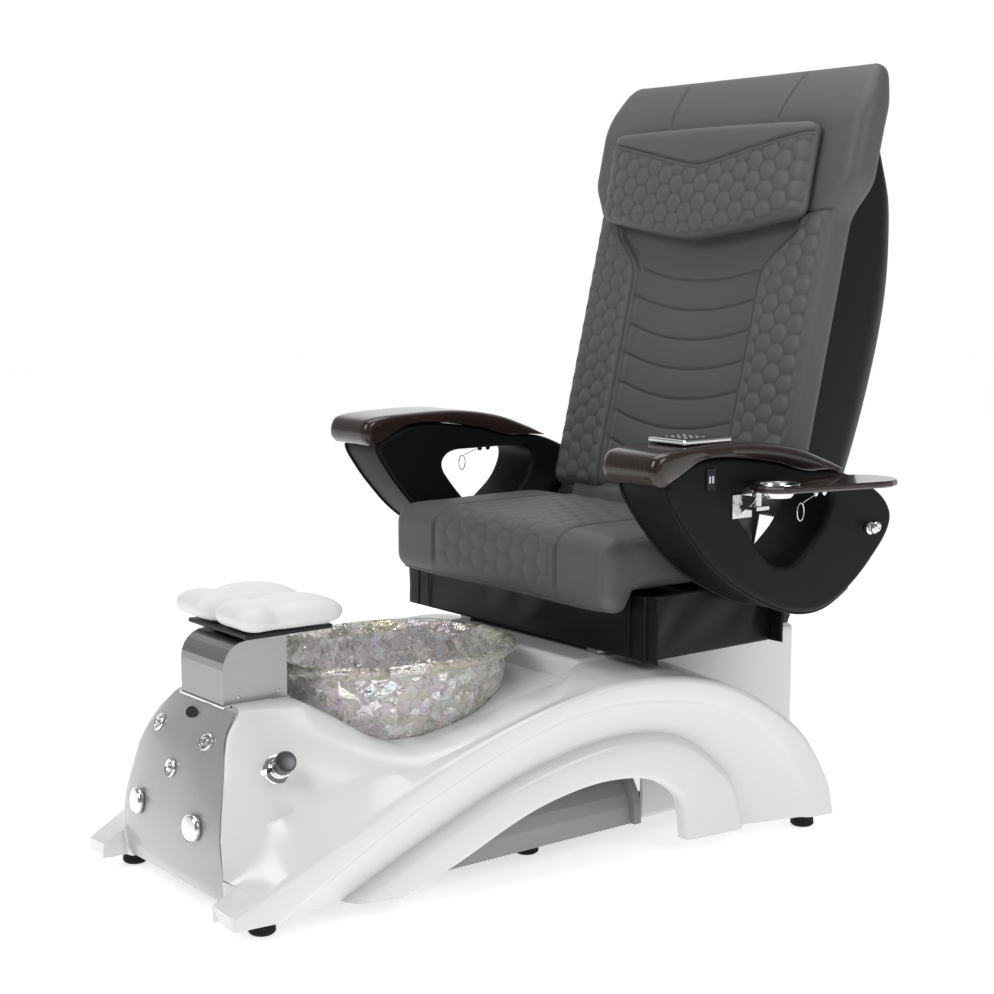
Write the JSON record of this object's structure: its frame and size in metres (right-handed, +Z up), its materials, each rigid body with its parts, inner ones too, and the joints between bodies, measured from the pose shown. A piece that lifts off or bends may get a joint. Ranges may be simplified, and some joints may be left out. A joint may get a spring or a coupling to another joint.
{
  "type": "pedicure spa chair",
  "caption": "Pedicure spa chair: reclining massage seat with lifting arms and swing trays on an arched moulded base with a glass foot bowl and footrest.",
  "frame": {"origin": "on the floor under the middle of the chair's bounding box", "axes": "+Z up, -Y the front with the foot bowl, +X the side with the control panel and the water valve"},
  "size_m": [1.235, 1.4745, 1.4267],
  "materials": {
    "gelcoat": "pearl white gelcoat, high gloss",
    "panel_grey": "warm grey metallic lacquer, gloss",
    "pump_grey": "satin grey moulded plastic",
    "chrome": "mirror chrome",
    "brushed_steel": "brushed stainless steel",
    "panel_glass": "dark glass face in a silver frame",
    "graphite": "dark graphite, satin",
    "dark_plastic": "black moulded plastic",
    "rubber": "black rubber",
    "crystal_glass": "clear rippled crystal glass with an iridescent film",
    "grey_leather": "grey upholstery leather, fine grain, quilted",
    "black_leather": "black upholstery leather, piped seams",
    "black_vinyl": "black vinyl, soft folds",
    "black_shell": "black textured moulded shell",
    "espresso_wood": "dark espresso wood under high gloss lacquer",
    "white_pad": "white moulded soft pad, satin",
    "frame_paint": "black powder coat"
  },
  "bodies": {
    "base": {"badge": "dark_plastic", "base_frame": "frame_paint", "button_bezel_1": "chrome", "button_bezel_2": "chrome", "button_bezel_3": "chrome", "deck_shell": "gelcoat", "foot_bowl": "crystal_glass", "foot_front_left": "rubber", "foot_front_right": "rubber", "foot_middle_left": "rubber", "foot_middle_right": "rubber", "foot_rear_left": "rubber", "foot_rear_right": "rubber", "footrest_housing": "brushed_steel", "front_panel": "panel_grey", "pedestal": "gelcoat", "pump_cover": "pump_grey", "pump_motor": "graphite", "side_arch_left": "gelcoat", "side_arch_right": "gelcoat", "slide_rail_left": "brushed_steel", "slide_rail_right": "brushed_steel", "valve_rose": "chrome"},
    "seat": {"seat_frame": "frame_paint", "seat_skirt": "black_vinyl", "seat_cushion": "grey_leather", "recline_motor": "graphite"},
    "back": {"back_frame": "frame_paint", "back_pad": "grey_leather", "back_shell": "black_shell", "head_pillow": "grey_leather"},
    "massage_carriage": {"massage_carriage": "dark_plastic"},
    "massage_rollers": {"massage_rollers": "rubber"},
    "arm_left": {"arm_pod_left": "black_leather", "arm_cap_left": "espresso_wood", "arm_pivot_left": "chrome", "tray_bracket_left": "brushed_steel"},
    "tray_left": {"tray_left": "espresso_wood", "tray_dish_left": "chrome"},
    "arm_right": {"arm_pod_right": "black_leather", "arm_cap_right": "espresso_wood", "arm_pivot_right": "chrome", "tray_bracket_right": "brushed_steel", "control_panel": "panel_glass", "usb_port": "dark_plastic"},
    "tray_right": {"tray_right": "espresso_wood", "tray_dish_right": "chrome"},
    "footrest_column": {"footrest_column": "brushed_steel"},
    "footrest_top": {"footrest_plate": "dark_plastic", "footrest_pad": "white_pad"},
    "push_button_1": {"push_button_1": "chrome"},
    "push_button_2": {"push_button_2": "chrome"},
    "push_button_3": {"push_button_3": "chrome"},
    "air_dial_left": {"air_dial_left": "chrome"},
    "air_dial_right": {"air_dial_right": "chrome"},
    "valve_knob": {"valve_knob": "graphite"},
    "valve_lever": {"valve_lever": "chrome"},
    "drain_plug": {"drain_plug": "chrome"},
    "pump_impeller": {"pump_impeller": "dark_plastic"}
  },
  "joints": [
    {"name": "seat_slide", "type": "slide", "parent": "base", "child": "seat", "axis": [0, -1, 0], "range_m": [-0.05, 0.06]},
    {"name": "back_recline", "type": "hinge", "parent": "seat", "child": "back", "pos_m": [0, 0.395, 0.5], "axis": [-1, 0, 0], "range_deg": [0, 28]},
    {"name": "massage_travel", "type": "slide", "parent": "back", "child": "massage_carriage", "axis": [0, 0.2334, 0.9724], "range_m": [0, 0.42]},
    {"name": "roller_spin", "type": "hinge", "parent": "massage_carriage", "child": "massage_rollers", "pos_m": [0, 0.51365, 0.72862], "axis": [1, 0, 0], "continuous": true},
    {"name": "arm_left_lift", "type": "hinge", "parent": "seat", "child": "arm_left", "pos_m": [-0.42, 0.442, 0.577], "axis": [-1, 0, 0], "range_deg": [0, 75]},
    {"name": "tray_left_swing", "type": "hinge", "parent": "arm_left", "child": "tray_left", "pos_m": [-0.522, 0.115, 0.677], "axis": [0, 0, 1], "range_deg": [0, 80]},
    {"name": "arm_right_lift", "type": "hinge", "parent": "seat", "child": "arm_right", "pos_m": [0.42, 0.442, 0.577], "axis": [-1, 0, 0], "range_deg": [0, 75]},
    {"name": "tray_right_swing", "type": "hinge", "parent": "arm_right", "child": "tray_right", "pos_m": [0.522, 0.115, 0.677], "axis": [0, 0, -1], "range_deg": [0, 80]},
    {"name": "footrest_lift", "type": "slide", "parent": "base", "child": "footrest_column", "axis": [0, 0, 1], "range_m": [0, 0.05]},
    {"name": "footrest_tilt", "type": "hinge", "parent": "footrest_column", "child": "footrest_top", "pos_m": [0, -0.585, 0.432], "axis": [1, 0, 0], "range_deg": [0, 12]},
    {"name": "button_1_press", "type": "slide", "parent": "base", "child": "push_button_1", "axis": [0.1387, 0.8891, -0.4361], "range_m": [0, 0.003], "stiffness_N_per_m": 400, "springref_m": -0.002},
    {"name": "button_2_press", "type": "slide", "parent": "base", "child": "push_button_2", "axis": [-0.1387, 0.8891, -0.4361], "range_m": [0, 0.003], "stiffness_N_per_m": 400, "springref_m": -0.002},
    {"name": "button_3_press", "type": "slide", "parent": "base", "child": "push_button_3", "axis": [0, 0.9784, -0.2066], "range_m": [0, 0.003], "stiffness_N_per_m": 400, "springref_m": -0.002},
    {"name": "air_dial_left_turn", "type": "hinge", "parent": "base", "child": "air_dial_left", "pos_m": [-0.094, -0.7215, 0.15], "axis": [-0.0925, -0.9875, 0.1277], "range_deg": [0, 270]},
    {"name": "air_dial_right_turn", "type": "hinge", "parent": "base", "child": "air_dial_right", "pos_m": [0.094, -0.7215, 0.15], "axis": [0.0925, -0.9875, 0.1277], "range_deg": [0, 270]},
    {"name": "valve_knob_turn", "type": "hinge", "parent": "base", "child": "valve_knob", "pos_m": [0.19385, -0.61434, 0.25835], "axis": [0.8418, -0.1812, 0.5085], "range_deg": [-120, 120]},
    {"name": "valve_lever_turn", "type": "hinge", "parent": "base", "child": "valve_lever", "pos_m": [0.18291, -0.61198, 0.25174], "axis": [0.8418, -0.1812, 0.5085], "range_deg": [-45, 45]},
    {"name": "drain_plug_lift", "type": "slide", "parent": "base", "child": "drain_plug", "axis": [0, 0, 1], "range_m": [0, 0.006]},
    {"name": "impeller_spin", "type": "hinge", "parent": "base", "child": "pump_impeller", "pos_m": [0, -0.095, 0.1], "axis": [0, 1, 0], "continuous": true}
  ]
}
